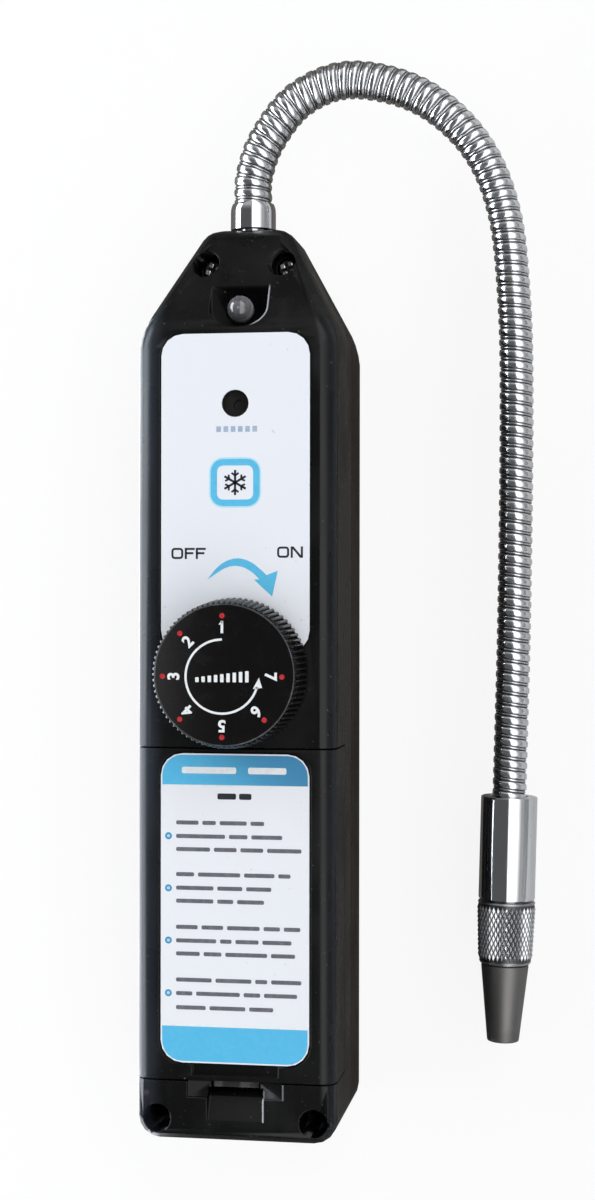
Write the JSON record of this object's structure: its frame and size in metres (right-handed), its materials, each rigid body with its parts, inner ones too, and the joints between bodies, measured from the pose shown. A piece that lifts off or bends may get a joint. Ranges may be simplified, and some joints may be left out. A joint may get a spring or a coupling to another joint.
{
  "type": "refrigerant leak detector",
  "caption": "Hand-held halogen gas leak detector: a black battery case with a sensitivity dial and a flexible chromed neck that carries a sensing tip.",
  "frame": {"origin": "middle of the flat back of the case, which it lies on", "axes": "+X across the case, +Y along the case towards the neck, +Z out of the front with the dial"},
  "size_m": [0.076, 0.2107, 0.0487],
  "materials": {
    "front_shell": "fine satin black moulding",
    "rear_shell": "fine satin black moulding",
    "battery_cover": "fine satin black moulding",
    "upper_label": "printed film, pale lilac white",
    "lower_label": "printed film, pale white with sky-blue fields",
    "sensitivity_knob": "satin black with white figures",
    "potentiometer_shaft": "turned",
    "potentiometer": "grey can and bush",
    "circuit_board": "green lacquer over glass laminate",
    "board_screws": "zinc plated",
    "buzzer": "black moulding",
    "indicator_led": "smoky clear resin",
    "transformer": "taped winding",
    "control_chip": "black moulding",
    "capacitors": "sleeved can",
    "battery_cells": "plain printed jacket",
    "battery_contacts": "nickel plated spring steel",
    "red_lead": "insulation",
    "black_lead": "insulation",
    "sensor_lead": "insulation",
    "case_screws": "dark zinc",
    "neck_ferrule": "bright chrome",
    "neck_locknut": "zinc plated",
    "neck": "wound chromed strip",
    "probe_sleeve": "bright chrome",
    "sensor_element": "plated can",
    "knurled_collar": "diamond knurl, dark nickel",
    "probe_tip": "dark grey moulding"
  },
  "bodies": {
    "case": {"front_shell": "front_shell", "rear_shell": "rear_shell", "upper_label": "upper_label", "circuit_board": "circuit_board", "board_screw_1": "board_screws", "board_screw_2": "board_screws", "buzzer": "buzzer", "indicator_led": "indicator_led", "transformer": "transformer", "control_chip": "control_chip", "capacitor_1": "capacitors", "capacitor_2": "capacitors", "potentiometer": "potentiometer", "battery_cell_1": "battery_cells", "battery_cell_2": "battery_cells", "battery_spring_1": "battery_contacts", "battery_spring_2": "battery_contacts", "contact_plate_1": "battery_contacts", "contact_plate_2": "battery_contacts", "contact_bridge": "battery_contacts", "battery_lead_1": "red_lead", "battery_lead_2": "black_lead", "sensor_lead": "sensor_lead", "case_screw_1": "case_screws", "case_screw_2": "case_screws", "case_screw_3": "case_screws", "case_screw_4": "case_screws", "neck_ferrule": "neck_ferrule", "neck_locknut": "neck_locknut", "neck_section_1": "neck"},
    "knob": {"sensitivity_knob": "sensitivity_knob", "potentiometer_shaft": "potentiometer_shaft"},
    "cover": {"battery_cover": "battery_cover", "lower_label": "lower_label"},
    "neck_second": {"neck_section_2": "neck"},
    "neck_third": {"neck_section_3": "neck"},
    "neck_fourth": {"neck_section_4": "neck"},
    "neck_fifth": {"neck_section_5": "neck"},
    "probe": {"neck_section_6": "neck", "probe_sleeve": "probe_sleeve", "sensor_element": "sensor_element"},
    "tip_cap": {"knurled_collar": "knurled_collar", "probe_tip": "probe_tip"}
  },
  "joints": [
    {"name": "knob_turn", "type": "hinge", "parent": "case", "child": "knob", "pos_m": [0, 0.0014, 0.03835], "axis": [0, 0, 1], "range_deg": [-270, 45]},
    {"name": "cover_tip", "type": "hinge", "parent": "case", "child": "cover", "pos_m": [0, -0.01315, 0.038], "axis": [-1, 0, 0], "range_deg": [0, 70]},
    {"name": "neck_bend_1", "type": "hinge", "parent": "case", "child": "neck_second", "pos_m": [0.01652, 0.11807, 0.019], "axis": [0, 0, 1], "range_deg": [-1, 10]},
    {"name": "neck_bend_2", "type": "hinge", "parent": "neck_second", "child": "neck_third", "pos_m": [0.04494, 0.10375, 0.019], "axis": [0, 0, 1], "range_deg": [-1, 10]},
    {"name": "neck_bend_3", "type": "hinge", "parent": "neck_third", "child": "neck_fourth", "pos_m": [0.05194, 0.07346, 0.019], "axis": [0, 0, 1], "range_deg": [-1, 10]},
    {"name": "neck_bend_4", "type": "hinge", "parent": "neck_fourth", "child": "neck_fifth", "pos_m": [0.05236, 0.04201, 0.019], "axis": [0, 0, 1], "range_deg": [-1, 10]},
    {"name": "neck_bend_5", "type": "hinge", "parent": "neck_fifth", "child": "probe", "pos_m": [0.05191, 0.00845, 0.019], "axis": [0, 0, 1], "range_deg": [-1, 10]},
    {"name": "tip_pull", "type": "slide", "parent": "probe", "child": "tip_cap", "axis": [-0.0252, -0.9997, 0], "range_m": [0, 0.016]}
  ]
}
